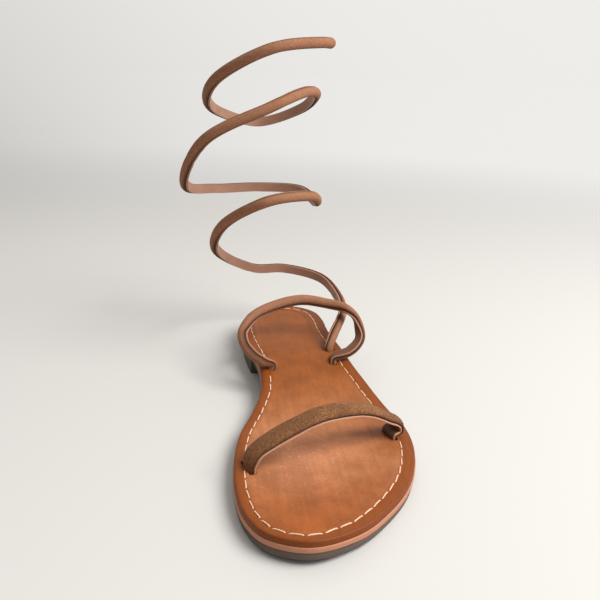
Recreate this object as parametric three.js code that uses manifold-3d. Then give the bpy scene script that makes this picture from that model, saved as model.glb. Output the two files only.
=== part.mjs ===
import * as THREE from 'three';
import { mergeVertices } from 'three/addons/utils/BufferGeometryUtils.js';
import Module from 'manifold-3d';

const wasm = await Module();
wasm.setup();

// A flat leather sandal for the left foot, in millimetres, +Z up. Its toe points to -Y and its outer side to +X.
// The origin is on the floor, under the middle of the heel.

// Sole
const soleLength = 250;
const ballWidth = 92;
const waistWidth = 57;
const heelWidth = 58;
const heelBehindOrigin = 30;
const outsoleThickness = 3.4;
const midsoleThickness = 2.3;
const insoleThickness = 3.2;
const heelHeight = 9;
const heelBlockLength = 74;
const toeSpring = 3.2;
const outsoleInset = 0.5;
const outsoleEdgeRound = 0.8;
const insoleInset = 0.4;
const stitchInset = 6.3;
const seatGap = 0.3;

// Straps: a flat lining under a domed suede face
const toeStrapWidth = 11;
const toeStrapThickness = 3.7;
const toeStrapArch = 21;
const toeStrapTilt = 6;
const legStrapWidth = 6.2;
const legStrapThickness = 4.8;
const ankleLoopWidth = 80;
const ankleLoopDepth = 46;
const ankleLoopHeight = 28;
const coilRadius = 44;
const coilHeight = 179;
const coilLean = 0.03;
const slotClearance = 0.3;
const footSkive = 0.6;
const exitSkive = 0.75;
const exitHeight = 1.8;

// Smoothness of the faceted solids
const outlineSteps = 4;
const strapSteps = 4;
const coilSteps = 5;

// The sole's outline from heel to toe. Lateral and medial are shares of the named width.
const outlineRows = [
  { along: 0.012, width: heelWidth, lateral: 0.26, medial: 0.19 },
  { along: 0.05, width: heelWidth, lateral: 0.43, medial: 0.365 },
  { along: 0.11, width: heelWidth, lateral: 0.49, medial: 0.46 },
  { along: 0.19, width: heelWidth, lateral: 0.5, medial: 0.475 },
  { along: 0.28, width: waistWidth, lateral: 0.555, medial: 0.445 },
  { along: 0.38, width: waistWidth, lateral: 0.625, medial: 0.37 },
  { along: 0.47, width: waistWidth, lateral: 0.73, medial: 0.375 },
  { along: 0.56, width: ballWidth, lateral: 0.515, medial: 0.305 },
  { along: 0.65, width: ballWidth, lateral: 0.565, medial: 0.39 },
  { along: 0.74, width: ballWidth, lateral: 0.54, medial: 0.43 },
  { along: 0.83, width: ballWidth, lateral: 0.445, medial: 0.435 },
  { along: 0.91, width: ballWidth, lateral: 0.28, medial: 0.4 },
  { along: 0.97, width: ballWidth, lateral: 0.1, medial: 0.31 },
];
const heelTipAcross = 0.017;
const toeTipAcross = -0.125;

// The arch comes down between these two shares of the length, and the toe lifts past the third.
const archTop = 0.3;
const archFoot = 0.58;
const toeLiftStart = 0.86;

// The insole's edge, from its wall over the rounded border and the stitched groove to the flat footbed.
// Inward is a share of the stitch inset, and rise is a share of the insole's thickness.
const insoleEdgeRows = [
  { inward: 0, rise: 0 },
  { inward: 0, rise: 0.4 },
  { inward: 0.17, rise: 0.78 },
  { inward: 0.5, rise: 0.96 },
  { inward: 0.86, rise: 0.88 },
  { inward: 1.2, rise: 1 },
];

// Slots through the insole. Across is a share of the named width, face is the way the strap's suede face
// looks as it leaves the slot, in degrees from +X.
const slots = {
  toeMedial: { width: ballWidth, across: -0.359, along: 0.772, face: 199 },
  toeLateral: { width: ballWidth, across: 0.445, along: 0.671, face: 19 },
  ankleMedial: { width: waistWidth, across: -0.25, along: 0.396, face: 225 },
  ankleLateral: { width: waistWidth, across: 0.42, along: 0.376, face: 0 },
  coil: { width: waistWidth, across: 0.42, along: 0.32, face: -50 },
};

// The toe strap from the medial slot to the lateral one, where it bulges past the slot and curls back to it.
// Span is a share of the way between the slots, and rise is a share of the strap's arch over the footbed.
const toeStrapRows = [
  { span: 0.005, rise: 0.18 },
  { span: 0.04, rise: 0.385 },
  { span: 0.15, rise: 0.61 },
  { span: 0.27, rise: 0.78 },
  { span: 0.47, rise: 0.975 },
  { span: 0.69, rise: 0.95 },
  { span: 0.82, rise: 0.83 },
  { span: 0.96, rise: 0.55 },
  { span: 1.03, rise: 0.31 },
  { span: 1.025, rise: 0.12 },
];

// The ankle loop from the medial slot, back over the instep and down to the lateral slot. Across, back and
// rise are shares of the loop's width, depth and height, and the last three say where its suede face looks.
const ankleRows = [
  { across: -0.3, back: -0.052, rise: 0.158, faceX: -0.6, faceY: -0.6, faceZ: -0.4 },
  { across: -0.38, back: 0.067, rise: 0.253, faceX: -0.55, faceY: -0.75, faceZ: -0.3 },
  { across: -0.43, back: 0.257, rise: 0.353, faceX: -0.65, faceY: -0.75, faceZ: -0.1 },
  { across: -0.436, back: 0.477, rise: 0.505, faceX: -0.7, faceY: -0.65, faceZ: 0.15 },
  { across: -0.352, back: 0.657, rise: 0.73, faceX: -0.55, faceY: -0.65, faceZ: 0.45 },
  { across: -0.205, back: 0.807, rise: 0.87, faceX: -0.35, faceY: -0.7, faceZ: 0.6 },
  { across: 0.044, back: 0.937, rise: 0.962, faceX: 0, faceY: -0.7, faceZ: 0.7 },
  { across: 0.24, back: 0.912, rise: 0.898, faceX: 0.25, faceY: -0.65, faceZ: 0.7 },
  { across: 0.384, back: 0.807, rise: 0.843, faceX: 0.5, faceY: -0.4, faceZ: 0.7 },
  { across: 0.46, back: 0.677, rise: 0.698, faceX: 0.85, faceY: 0, faceZ: 0.45 },
  { across: 0.484, back: 0.542, rise: 0.523, faceX: 0.9, faceY: 0.35, faceZ: 0.1 },
  { across: 0.47, back: 0.347, rise: 0.368, faceX: 0.8, faceY: 0.4, faceZ: -0.4 },
  { across: 0.37, back: 0.157, rise: 0.213, faceX: 0.6, faceY: 0.3, faceZ: -0.75 },
];

// The coil's three turns around its axis, counter-clockwise from above. Turn 0 is the lateral side, reach is
// a share of the coil's radius and rise is a share of its height.
const coilAxis = { width: heelWidth, across: -0.275, along: 0.108 };
const coilRows = [
  { turn: -0.13, reach: 1.45, rise: 0.04 },
  { turn: -0.07, reach: 1.33, rise: 0.075 },
  { turn: 0, reach: 1.24, rise: 0.09 },
  { turn: 0.08, reach: 1.19, rise: 0.12 },
  { turn: 0.17, reach: 0.97, rise: 0.138 },
  { turn: 0.25, reach: 0.81, rise: 0.14 },
  { turn: 0.375, reach: 0.7, rise: 0.205 },
  { turn: 0.5, reach: 0.7, rise: 0.285 },
  { turn: 0.625, reach: 0.81, rise: 0.4 },
  { turn: 0.75, reach: 1.06, rise: 0.505 },
  { turn: 0.875, reach: 0.9, rise: 0.505 },
  { turn: 1, reach: 0.82, rise: 0.455 },
  { turn: 1.125, reach: 0.89, rise: 0.47 },
  { turn: 1.25, reach: 0.88, rise: 0.465 },
  { turn: 1.375, reach: 0.96, rise: 0.465 },
  { turn: 1.5, reach: 1.12, rise: 0.505 },
  { turn: 1.625, reach: 1.19, rise: 0.69 },
  { turn: 1.75, reach: 1, rise: 0.8 },
  { turn: 1.875, reach: 0.75, rise: 0.845 },
  { turn: 2, reach: 0.75, rise: 0.83 },
  { turn: 2.125, reach: 0.87, rise: 0.77 },
  { turn: 2.25, reach: 0.97, rise: 0.71 },
  { turn: 2.375, reach: 0.89, rise: 0.75 },
  { turn: 2.5, reach: 0.81, rise: 0.805 },
  { turn: 2.625, reach: 0.93, rise: 0.885 },
  { turn: 2.75, reach: 1.04, rise: 0.975 },
  { turn: 2.875, reach: 0.96, rise: 1 },
  { turn: 2.91, reach: 0.98, rise: 1 },
];

// A strap's section, around from one edge of its flat lining. Across is a share of the width and out is a
// share of the thickness.
const strapSection = [
  { across: -0.5, out: -0.5 },
  { across: 0.5, out: -0.5 },
  { across: 0.5, out: -0.15 },
  { across: 0.4, out: 0.22 },
  { across: 0.2, out: 0.45 },
  { across: 0, out: 0.5 },
  { across: -0.2, out: 0.45 },
  { across: -0.4, out: 0.22 },
  { across: -0.5, out: -0.15 },
];

// The free end rounds off in these steps. Ahead is a share of half the width, size is a share of the section.
const roundEndRows = [
  { ahead: 0.45, size: 0.9 },
  { ahead: 0.8, size: 0.62 },
  { ahead: 0.97, size: 0.25 },
];

const midsoleBase = outsoleThickness + seatGap;
const insoleBase = midsoleBase + midsoleThickness + seatGap;
const footbedTop = insoleBase + insoleThickness;

function yAt(along) {
  return heelBehindOrigin - along * soleLength;
}

// Height of the outsole's underside over the floor
function soleRise(y) {
  const along = (heelBehindOrigin - y) / soleLength;
  if (along > toeLiftStart) {
    return toeSpring * ((along - toeLiftStart) / (1 - toeLiftStart)) ** 2;
  }
  return heelHeight * (1 - THREE.MathUtils.smoothstep(along, archTop, archFoot));
}

function outlineCurve() {
  const heelTip = new THREE.Vector3(heelTipAcross * heelWidth, yAt(0), 0);
  const toeTip = new THREE.Vector3(toeTipAcross * ballWidth, yAt(1), 0);
  const medial = outlineRows.map((row) => new THREE.Vector3(-row.medial * row.width, yAt(row.along), 0));
  const lateral = outlineRows.map((row) => new THREE.Vector3(row.lateral * row.width, yAt(row.along), 0));
  return new THREE.CatmullRomCurve3([heelTip, ...medial, toeTip, ...lateral.reverse()], true);
}

// The outline's points, counter-clockwise from above, moved inwards by an inset
function outlineRing(inset) {
  const curve = outlineCurve();
  const count = curve.points.length * outlineSteps;
  const points = Array.from({ length: count }, (unused, i) => curve.getPoint(i / count));
  return points.map((point, i) => {
    const next = points[(i + 1) % count];
    const before = points[(i + count - 1) % count];
    const ahead = next.clone().sub(before).normalize();
    return new THREE.Vector3(point.x - ahead.y * inset, point.y + ahead.x * inset, 0);
  });
}

function geometryFrom(positions, triangles) {
  const geometry = new THREE.BufferGeometry();
  geometry.setAttribute('position', new THREE.Float32BufferAttribute(positions, 3));
  geometry.setIndex(triangles);
  geometry.computeVertexNormals();
  return geometry;
}

// A layer of the sole: rings of the outline at rising heights, closed across below and above
function layerGeometry(edgeRows) {
  const positions = [];
  const triangles = [];
  const rings = edgeRows.map((row) => outlineRing(row.inset));
  const count = rings[0].length;
  rings.forEach((ring, level) => {
    ring.forEach((point) => positions.push(point.x, point.y, edgeRows[level].height(point.y)));
  });
  for (let level = 0; level < rings.length - 1; level += 1) {
    for (let i = 0; i < count; i += 1) {
      const low = level * count + i;
      const lowNext = level * count + ((i + 1) % count);
      triangles.push(low, lowNext, lowNext + count, low, lowNext + count, low + count);
    }
  }
  const top = (rings.length - 1) * count;
  for (let i = 0; i < count / 2; i += 1) {
    const medial = i;
    const medialNext = i + 1;
    const lateral = (count - i) % count;
    const lateralNext = count - i - 1;
    if (medial !== lateral) {
      triangles.push(top + medial, top + medialNext, top + lateral);
      triangles.push(lateral, medialNext, medial);
    }
    if (medialNext !== lateralNext) {
      triangles.push(top + medialNext, top + lateralNext, top + lateral);
      triangles.push(lateral, lateralNext, medialNext);
    }
  }
  return geometryFrom(positions, triangles);
}

function toManifold(geometry) {
  const bare = geometry.clone();
  bare.deleteAttribute('normal');
  bare.deleteAttribute('uv');
  const merged = mergeVertices(bare);
  const mesh = new wasm.Mesh({
    numProp: 3,
    vertProperties: new Float32Array(merged.attributes.position.array),
    triVerts: new Uint32Array(merged.index.array),
  });
  return new wasm.Manifold(mesh);
}

function cutGeometry(geometry, cutters) {
  const body = cutters.reduce((left, cutter) => left.subtract(toManifold(cutter)), toManifold(geometry));
  const mesh = body.getMesh();
  return geometryFrom(Array.from(mesh.vertProperties), Array.from(mesh.triVerts));
}

function outsoleGeometry() {
  return layerGeometry([
    { inset: outsoleInset + outsoleEdgeRound, height: (y) => soleRise(y) },
    { inset: outsoleInset, height: (y) => soleRise(y) + outsoleEdgeRound },
    { inset: outsoleInset, height: (y) => soleRise(y) + outsoleThickness },
  ]);
}

// The heel block lies under the outsole and ends ahead in a straight breast
function heelGeometry() {
  const block = layerGeometry([
    { inset: outsoleInset + outsoleEdgeRound, height: () => 0 },
    { inset: outsoleInset, height: () => outsoleEdgeRound },
    { inset: outsoleInset, height: () => heelHeight - seatGap },
  ]);
  const front = new THREE.BoxGeometry(soleLength, soleLength, soleLength);
  front.translate(0, yAt(0) - heelBlockLength - soleLength / 2, 0);
  return cutGeometry(block, [front]);
}

function midsoleGeometry() {
  return layerGeometry([
    { inset: 0, height: (y) => soleRise(y) + midsoleBase },
    { inset: 0, height: (y) => soleRise(y) + midsoleBase + midsoleThickness },
  ]);
}

function slotPlace(slot) {
  return new THREE.Vector3(slot.across * slot.width, yAt(slot.along), 0);
}

function slotFace(slot) {
  const angle = THREE.MathUtils.degToRad(slot.face);
  return new THREE.Vector3(Math.cos(angle), Math.sin(angle), 0);
}

// A slot's cutter: the strap's width and skived thickness with the clearance, upright through the insole
function slotCutter(slot, strapWidth, strapThickness) {
  const place = slotPlace(slot);
  const across = strapThickness * exitSkive + 2 * slotClearance;
  const cutter = new THREE.BoxGeometry(across, strapWidth + 2 * slotClearance, 4 * insoleThickness);
  cutter.rotateZ(THREE.MathUtils.degToRad(slot.face));
  return cutter.translate(place.x, place.y, soleRise(place.y) + insoleBase + insoleThickness / 2);
}

function insoleGeometry() {
  const edge = insoleEdgeRows.map((row) => ({
    inset: insoleInset + row.inward * stitchInset,
    height: (y) => soleRise(y) + insoleBase + row.rise * insoleThickness,
  }));
  return cutGeometry(layerGeometry(edge), [
    slotCutter(slots.toeMedial, toeStrapWidth, toeStrapThickness),
    slotCutter(slots.toeLateral, toeStrapWidth, toeStrapThickness),
    slotCutter(slots.ankleMedial, legStrapWidth, legStrapThickness),
    slotCutter(slots.ankleLateral, legStrapWidth, legStrapThickness),
    slotCutter(slots.coil, legStrapWidth, legStrapThickness),
  ]);
}

// A strap: its section carried along a smooth curve through the stops. Each stop has a point and a face, the
// way its suede side looks. Its feet stand upright.
function strapGeometry({ stops, width, thickness, steps, freeEnd }) {
  const path = new THREE.CatmullRomCurve3(stops.map((stop) => stop.point));
  const faces = new THREE.CatmullRomCurve3(stops.map((stop) => stop.face.normalize()), false, 'catmullrom');
  const count = (stops.length - 1) * steps;
  const stations = [];
  for (let i = 0; i <= count; i += 1) {
    const stop = Math.min(Math.floor(i / steps), stops.length - 2);
    const skive = THREE.MathUtils.lerp(stops[stop].skive, stops[stop + 1].skive, i / steps - stop);
    const place = { point: path.getPoint(i / count), ahead: path.getTangent(i / count) };
    stations.push({ ...place, face: faces.getPoint(i / count), skive, size: 1 });
  }
  const last = stations[count];
  stations[0].ahead.set(0, 0, 1);
  if (!freeEnd) {
    last.ahead.set(0, 0, -1);
  } else {
    roundEndRows.forEach((row) => {
      const point = last.point.clone().addScaledVector(last.ahead, (row.ahead * width) / 2);
      stations.push({ ...last, point, size: row.size });
    });
  }
  const positions = [];
  stations.forEach((station) => {
    const out = station.face.clone().addScaledVector(station.ahead, -station.face.dot(station.ahead));
    out.normalize();
    const side = out.clone().cross(station.ahead);
    strapSection.forEach((corner) => {
      const place = station.point.clone();
      place.addScaledVector(side, corner.across * width * station.size);
      place.addScaledVector(out, corner.out * thickness * station.skive * station.size);
      positions.push(place.x, place.y, place.z);
    });
  });
  return geometryFrom(positions, tubeTriangles(stations.length, strapSection.length));
}

function tubeTriangles(stationCount, cornerCount) {
  const triangles = [];
  for (let station = 0; station < stationCount - 1; station += 1) {
    for (let corner = 0; corner < cornerCount; corner += 1) {
      const here = station * cornerCount + corner;
      const next = station * cornerCount + ((corner + 1) % cornerCount);
      triangles.push(here, next, next + cornerCount, here, next + cornerCount, here + cornerCount);
    }
  }
  const end = (stationCount - 1) * cornerCount;
  for (let corner = 1; corner < cornerCount - 1; corner += 1) {
    triangles.push(0, corner + 1, corner);
    triangles.push(end, end + corner, end + corner + 1);
  }
  return triangles;
}

// Where a strap stands in its slot: its end clear of the midsole's slope, half way up, and its way out just over
// the footbed. It is skived thinner there.
function slotStops(slot, strapWidth) {
  const place = slotPlace(slot);
  const slope = Math.max(soleRise(place.y + strapWidth / 2), soleRise(place.y - strapWidth / 2));
  const low = slope + insoleBase;
  const high = soleRise(place.y) + footbedTop + exitHeight;
  return [
    { point: place.clone().setZ(low), face: slotFace(slot), skive: footSkive },
    { point: place.clone().setZ((low + high) / 2), face: slotFace(slot), skive: footSkive },
    { point: place.clone().setZ(high), face: slotFace(slot), skive: exitSkive },
  ];
}

function toeStrapGeometry() {
  const start = slotPlace(slots.toeMedial);
  const end = slotPlace(slots.toeLateral);
  const span = end.clone().sub(start);
  const back = new THREE.Vector3(-span.y, span.x, 0).normalize();
  const bow = toeStrapRows.map((row) => {
    const point = start.clone().addScaledVector(span, row.span);
    return point.setZ(soleRise(point.y) + footbedTop + row.rise * toeStrapArch);
  });
  const curve = new THREE.CatmullRomCurve3([start.clone().setZ(0), ...bow, end.clone().setZ(0)]);
  const stops = bow.map((point, i) => {
    const ahead = curve.getTangent((i + 1) / (bow.length + 1));
    const tilt = THREE.MathUtils.degToRad(toeStrapTilt) * Math.sin((Math.PI * i) / (bow.length - 1));
    const side = back.clone().multiplyScalar(Math.cos(tilt)).setZ(Math.sin(tilt));
    return { point, face: ahead.cross(side), skive: 1 };
  });
  const medialFoot = slotStops(slots.toeMedial, toeStrapWidth);
  const lateralFoot = slotStops(slots.toeLateral, toeStrapWidth).reverse();
  return strapGeometry({
    stops: [...medialFoot, ...stops, ...lateralFoot],
    width: toeStrapWidth,
    thickness: toeStrapThickness,
    steps: strapSteps,
    freeEnd: false,
  });
}

function ankleStrapGeometry() {
  const start = slotPlace(slots.ankleMedial);
  const end = slotPlace(slots.ankleLateral);
  const middle = start.clone().add(end).multiplyScalar(0.5);
  const floor = soleRise(start.y) + footbedTop;
  const stops = ankleRows.map((row) => ({
    point: new THREE.Vector3(
      middle.x + row.across * ankleLoopWidth,
      start.y + row.back * ankleLoopDepth,
      floor + row.rise * ankleLoopHeight,
    ),
    face: new THREE.Vector3(row.faceX, row.faceY, row.faceZ),
    skive: 1,
  }));
  const medialFoot = slotStops(slots.ankleMedial, legStrapWidth);
  const lateralFoot = slotStops(slots.ankleLateral, legStrapWidth).reverse();
  return strapGeometry({
    stops: [...medialFoot, ...stops, ...lateralFoot],
    width: legStrapWidth,
    thickness: legStrapThickness,
    steps: strapSteps,
    freeEnd: false,
  });
}

function coilGeometry() {
  const axis = slotPlace(coilAxis);
  const floor = soleRise(slotPlace(slots.coil).y) + footbedTop;
  const stops = coilRows.map((row) => {
    const angle = 2 * Math.PI * row.turn;
    const face = new THREE.Vector3(Math.cos(angle), Math.sin(angle), 0);
    const height = floor + row.rise * coilHeight;
    const point = face.clone().multiplyScalar(row.reach * coilRadius).add(axis);
    return { point: point.setZ(height).setY(point.y + coilLean * height), face, skive: 1 };
  });
  return strapGeometry({
    stops: [...slotStops(slots.coil, legStrapWidth), ...stops],
    width: legStrapWidth,
    thickness: legStrapThickness,
    steps: coilSteps,
    freeEnd: true,
  });
}

const outsoleRubber = new THREE.MeshStandardMaterial({ color: 0x64554b, roughness: 0.85, metalness: 0 });
const heelRubber = new THREE.MeshStandardMaterial({ color: 0x585440, roughness: 0.85, metalness: 0 });
const rawLeather = new THREE.MeshStandardMaterial({ color: 0xc88269, roughness: 0.75, metalness: 0 });
const footbedLeather = new THREE.MeshStandardMaterial({ color: 0xb8784e, roughness: 0.5, metalness: 0 });
const toeSuede = new THREE.MeshStandardMaterial({ color: 0x91694a, roughness: 0.95, metalness: 0 });
const legSuede = new THREE.MeshStandardMaterial({ color: 0x8c6650, roughness: 0.95, metalness: 0 });

const sandal = new THREE.Group();

function addPiece(name, geometry, material) {
  const mesh = new THREE.Mesh(geometry, material);
  mesh.name = name;
  sandal.add(mesh);
}

addPiece('outsole', outsoleGeometry(), outsoleRubber);
addPiece('heel', heelGeometry(), heelRubber);
addPiece('midsole', midsoleGeometry(), rawLeather);
addPiece('insole', insoleGeometry(), footbedLeather);
addPiece('toe_strap', toeStrapGeometry(), toeSuede);
addPiece('ankle_strap', ankleStrapGeometry(), legSuede);
addPiece('leg_coil', coilGeometry(), legSuede);

export default sandal;
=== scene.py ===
import math

import bpy
import numpy as np
from mathutils import Euler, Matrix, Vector


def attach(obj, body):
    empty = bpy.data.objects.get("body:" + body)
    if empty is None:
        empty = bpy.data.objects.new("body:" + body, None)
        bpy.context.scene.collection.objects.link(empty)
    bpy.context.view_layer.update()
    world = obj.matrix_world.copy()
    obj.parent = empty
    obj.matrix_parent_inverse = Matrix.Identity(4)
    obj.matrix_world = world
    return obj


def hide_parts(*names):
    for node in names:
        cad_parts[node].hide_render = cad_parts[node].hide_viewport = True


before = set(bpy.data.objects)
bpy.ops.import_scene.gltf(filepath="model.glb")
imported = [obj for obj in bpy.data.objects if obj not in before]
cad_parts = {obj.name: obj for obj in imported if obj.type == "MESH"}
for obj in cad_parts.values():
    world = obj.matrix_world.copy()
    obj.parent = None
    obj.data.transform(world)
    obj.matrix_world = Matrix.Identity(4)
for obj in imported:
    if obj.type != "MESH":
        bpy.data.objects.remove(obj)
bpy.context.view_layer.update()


# Outsole. The real one is a sheet of taupe rubber, cut to the foot's outline, glued under the leather and
# ground flush with it, so its wall is matt with fine lines around it. The arch lifts its middle off the
# floor and the toe springs up a little.
MM = 0.001
sole_length = 250
ball_width = 92
waist_width = 57
heel_width = 58
heel_behind_origin = 30
outsole_thickness = 3.4
heel_height = 9
toe_spring = 3.2
outsole_inset = 0.5
outsole_edge_round = 0.8
glue_gap = 0.3
outline_steps = 16
sole_columns = 12
arch_top = 0.3
arch_foot = 0.58
toe_lift_start = 0.86
heel_tip_across = 0.017
toe_tip_across = -0.125
# Each row: share of the length from the heel, the width it follows, lateral share, medial share
outline_rows = [
    (0.012, heel_width, 0.26, 0.19),
    (0.05, heel_width, 0.43, 0.365),
    (0.11, heel_width, 0.49, 0.46),
    (0.19, heel_width, 0.5, 0.475),
    (0.28, waist_width, 0.555, 0.445),
    (0.38, waist_width, 0.625, 0.37),
    (0.47, waist_width, 0.73, 0.375),
    (0.56, ball_width, 0.515, 0.305),
    (0.65, ball_width, 0.565, 0.39),
    (0.74, ball_width, 0.54, 0.43),
    (0.83, ball_width, 0.445, 0.435),
    (0.91, ball_width, 0.28, 0.4),
    (0.97, ball_width, 0.1, 0.31),
]
taupe_rubber = "#66574C"
taupe_rubber_dark = "#53463D"


def colour(text):
    """A hex colour in sRGB as linear red, green, blue and alpha."""
    shares = [int(text[i:i + 2], 16) / 255 for i in (1, 3, 5)]
    return [s / 12.92 if s <= 0.04045 else ((s + 0.055) / 1.055) ** 2.4 for s in shares] + [1]


def add_node(tree, kind, inputs=None, **settings):
    """Adds a node. A value that is an output socket is linked to that input, and any other is set on it."""
    node = tree.nodes.new(kind)
    for name, value in settings.items():
        setattr(node, name, value)
    for socket, value in (inputs or {}).items():
        if isinstance(value, bpy.types.NodeSocket):
            tree.links.new(value, node.inputs[socket])
        else:
            node.inputs[socket].default_value = value
    return node


def new_material(name):
    """An empty material with its shader, and the object's own coordinates in metres."""
    material = bpy.data.materials.new(name)
    material.use_nodes = True
    tree = material.node_tree
    tree.nodes.clear()
    shader = add_node(tree, "ShaderNodeBsdfPrincipled")
    add_node(tree, "ShaderNodeOutputMaterial", {"Surface": shader.outputs["BSDF"]})
    place = add_node(tree, "ShaderNodeTexCoord").outputs["Object"]
    return material, tree, shader, place


def per(millimetres):
    """The scale that gives a pattern features of this size."""
    return 1 / (millimetres * MM)


def mottled(tree, place, millimetres, detail, dark, light):
    """A cloudy pattern of this size, and the colour that follows it from dark to light."""
    pattern = add_node(tree, "ShaderNodeTexNoise", {
        "Vector": place, "Scale": per(millimetres), "Detail": detail,
    }).outputs["Fac"]
    tone = add_node(tree, "ShaderNodeMix", {0: pattern, 6: colour(dark), 7: colour(light)}, data_type="RGBA")
    return pattern, tone.outputs[2]


def dress(tree, shader, base, relief, roughness):
    """Gives a shader its colour, its relief and its roughness."""
    tree.links.new(base, shader.inputs["Base Color"])
    tree.links.new(relief.outputs["Normal"], shader.inputs["Normal"])
    shader.inputs["Roughness"].default_value = roughness


def smooth_curve(points, steps, closed=False, pull=0.25):
    """Points along a Catmull-Rom curve, with this many steps to a span. Pull 0.25 is centripetal, and 0 is
    uniform."""
    points = np.array(points, float)
    if closed:
        run = np.vstack([points[-1:], points, points[:2]])
    else:
        run = np.vstack([2 * points[:1] - points[1:2], points, 2 * points[-1:] - points[-2:-1]])
    before, start, end, after = (run[i:len(run) - 3 + i, None] for i in range(4))
    gaps = [((b - a) ** 2).sum(-1, keepdims=True) for a, b in ((before, start), (start, end), (end, after))]
    d0, d1, d2 = (np.maximum(gap, 1e-9) ** pull for gap in gaps)
    leave = ((start - before) / d0 - (end - before) / (d0 + d1) + (end - start) / d1) * d1
    arrive = ((end - start) / d1 - (after - start) / (d1 + d2) + (after - end) / d2) * d1
    t = np.arange(steps)[None, :, None] / steps
    bend = 3 * (end - start) - 2 * leave - arrive
    curl = 2 * (start - end) + leave + arrive
    curve = (start + leave * t + bend * t ** 2 + curl * t ** 3).reshape(-1, points.shape[1])
    return curve if closed else np.vstack([curve, points[-1:]])


def y_at(along):
    return heel_behind_origin - along * sole_length


def sole_rise(y):
    """Height of the outsole's underside over the floor."""
    along = (heel_behind_origin - np.asarray(y, float)) / sole_length
    down = np.clip((along - arch_top) / (arch_foot - arch_top), 0, 1)
    arch = heel_height * (1 - down * down * (3 - 2 * down))
    lift = np.clip((along - toe_lift_start) / (1 - toe_lift_start), 0, 1)
    return arch + toe_spring * lift ** 2


def sole_ring(inset, sway=0):
    """The outline from the heel's tip, counter-clockwise from above, moved inwards by an inset. Sway widens
    the inset on the outer side and narrows it on the inner side and at the toe."""
    medial = [(-medial * width, y_at(along)) for along, width, lateral, medial in outline_rows]
    lateral = [(lateral * width, y_at(along)) for along, width, lateral, medial in outline_rows]
    heel_tip = (heel_tip_across * heel_width, y_at(0))
    toe_tip = (toe_tip_across * ball_width, y_at(1))
    ring = smooth_curve([heel_tip, *medial, toe_tip, *lateral[::-1]], outline_steps, closed=True)
    ahead = np.roll(ring, -1, 0) - np.roll(ring, 1, 0)
    ahead /= np.linalg.norm(ahead, axis=1, keepdims=True)
    outward = np.stack([ahead[:, 1], -ahead[:, 0]], 1)
    uneven = 1 + sway * (outward[:, 0] + np.minimum(outward[:, 1], 0))
    return ring - outward * (inset * uneven)[:, None]


def new_piece(name, points, faces, material, crease=40):
    """A piece from points in millimetres. Edges sharper than the crease angle stay sharp."""
    mesh = bpy.data.meshes.new(name)
    mesh.from_pydata((np.asarray(points) * MM).tolist(), [], faces)
    mesh.materials.append(material)
    mesh.shade_smooth()
    mesh.set_sharp_from_angle(angle=math.radians(crease))
    piece = bpy.data.objects.new(name, mesh)
    bpy.context.scene.collection.objects.link(piece)
    return piece


def wall_faces(levels, around):
    """Faces between rings of points that follow one another."""
    faces = []
    for level in range(levels - 1):
        for i in range(around):
            low = level * around + i
            after = level * around + (i + 1) % around
            faces.append((low, after, after + around, low + around))
    return faces


def sole_layer(name, rows, columns, material, hollow=None, sway=0):
    """A layer of the sole: rings from the rim of its underside up its wall to the rim of its top, closed by
    columns across. Each row is an inset and a height over the sole's rise."""
    rings = [sole_ring(inset, sway) for inset, height in rows]
    count = len(rings[0])
    half = count // 2
    points = [np.column_stack([ring, sole_rise(ring[:, 1]) + row[1]]) for ring, row in zip(rings, rows)]
    faces = wall_faces(len(rows), count)
    total = len(rows) * count
    for level, up in ((0, False), (len(rows) - 1, True)):
        ring = rings[level]
        share = np.arange(1, columns)[None, :, None] / columns
        inner = ring[1:half, None] * (1 - share) + ring[:half:-1, None] * share
        flat = inner.reshape(-1, 2)
        height = sole_rise(flat[:, 1]) + rows[level][1]
        if up and hollow:
            height = height - hollow(flat)
        points.append(np.column_stack([flat, height]))
        grid = np.zeros((half + 1, columns + 1), int)
        grid[0] = level * count
        grid[half] = level * count + half
        grid[1:half, 0] = level * count + np.arange(1, half)
        grid[1:half, columns] = level * count + count - np.arange(1, half)
        grid[1:half, 1:columns] = total + np.arange(len(flat)).reshape(half - 1, columns - 1)
        total += len(flat)
        for i in range(half):
            for c in range(columns):
                corners = [grid[i, c], grid[i + 1, c], grid[i + 1, c + 1], grid[i, c + 1]]
                kept = list(dict.fromkeys(int(corner) for corner in corners))
                faces.append(kept if up else kept[::-1])
    return new_piece(name, np.vstack(points), faces, material)


# Moulded and ground rubber: dielectric and matt, a little mottled, with a bump of grinding lines on the wall
rubber, tree, shader, place = new_material("taupe_rubber_ground_matt")
_, tone = mottled(tree, place, 9, 5, taupe_rubber_dark, taupe_rubber)
lines = add_node(tree, "ShaderNodeMapping", {"Vector": place, "Scale": (1, 1, 6)})
grinding = add_node(tree, "ShaderNodeTexNoise", {
    "Vector": lines.outputs["Vector"], "Scale": per(1.6), "Detail": 3,
})
relief = add_node(tree, "ShaderNodeBump", {
    "Height": grinding.outputs["Fac"], "Strength": 0.35, "Distance": 0.2 * MM,
})
dress(tree, shader, tone, relief, 0.8)

outsole_rows = [
    (outsole_inset + outsole_edge_round, 0),
    (outsole_inset + 0.3 * outsole_edge_round, 0.15 * outsole_edge_round),
    (outsole_inset, outsole_edge_round),
    (outsole_inset, outsole_thickness + 0.1),
    (outsole_inset + 0.15, outsole_thickness + glue_gap),
]
outsole = sole_layer("outsole_sheet", outsole_rows, sole_columns, rubber)
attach(outsole, "root")
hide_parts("outsole")


# Heel. A low block of darker olive rubber, glued under the outsole and cut straight across its front. It is
# ground together with the sole, so its wall is as matt.
heel_block_length = 74
heel_rubber = "#5A5643"
heel_rubber_dark = "#48442F"

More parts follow.
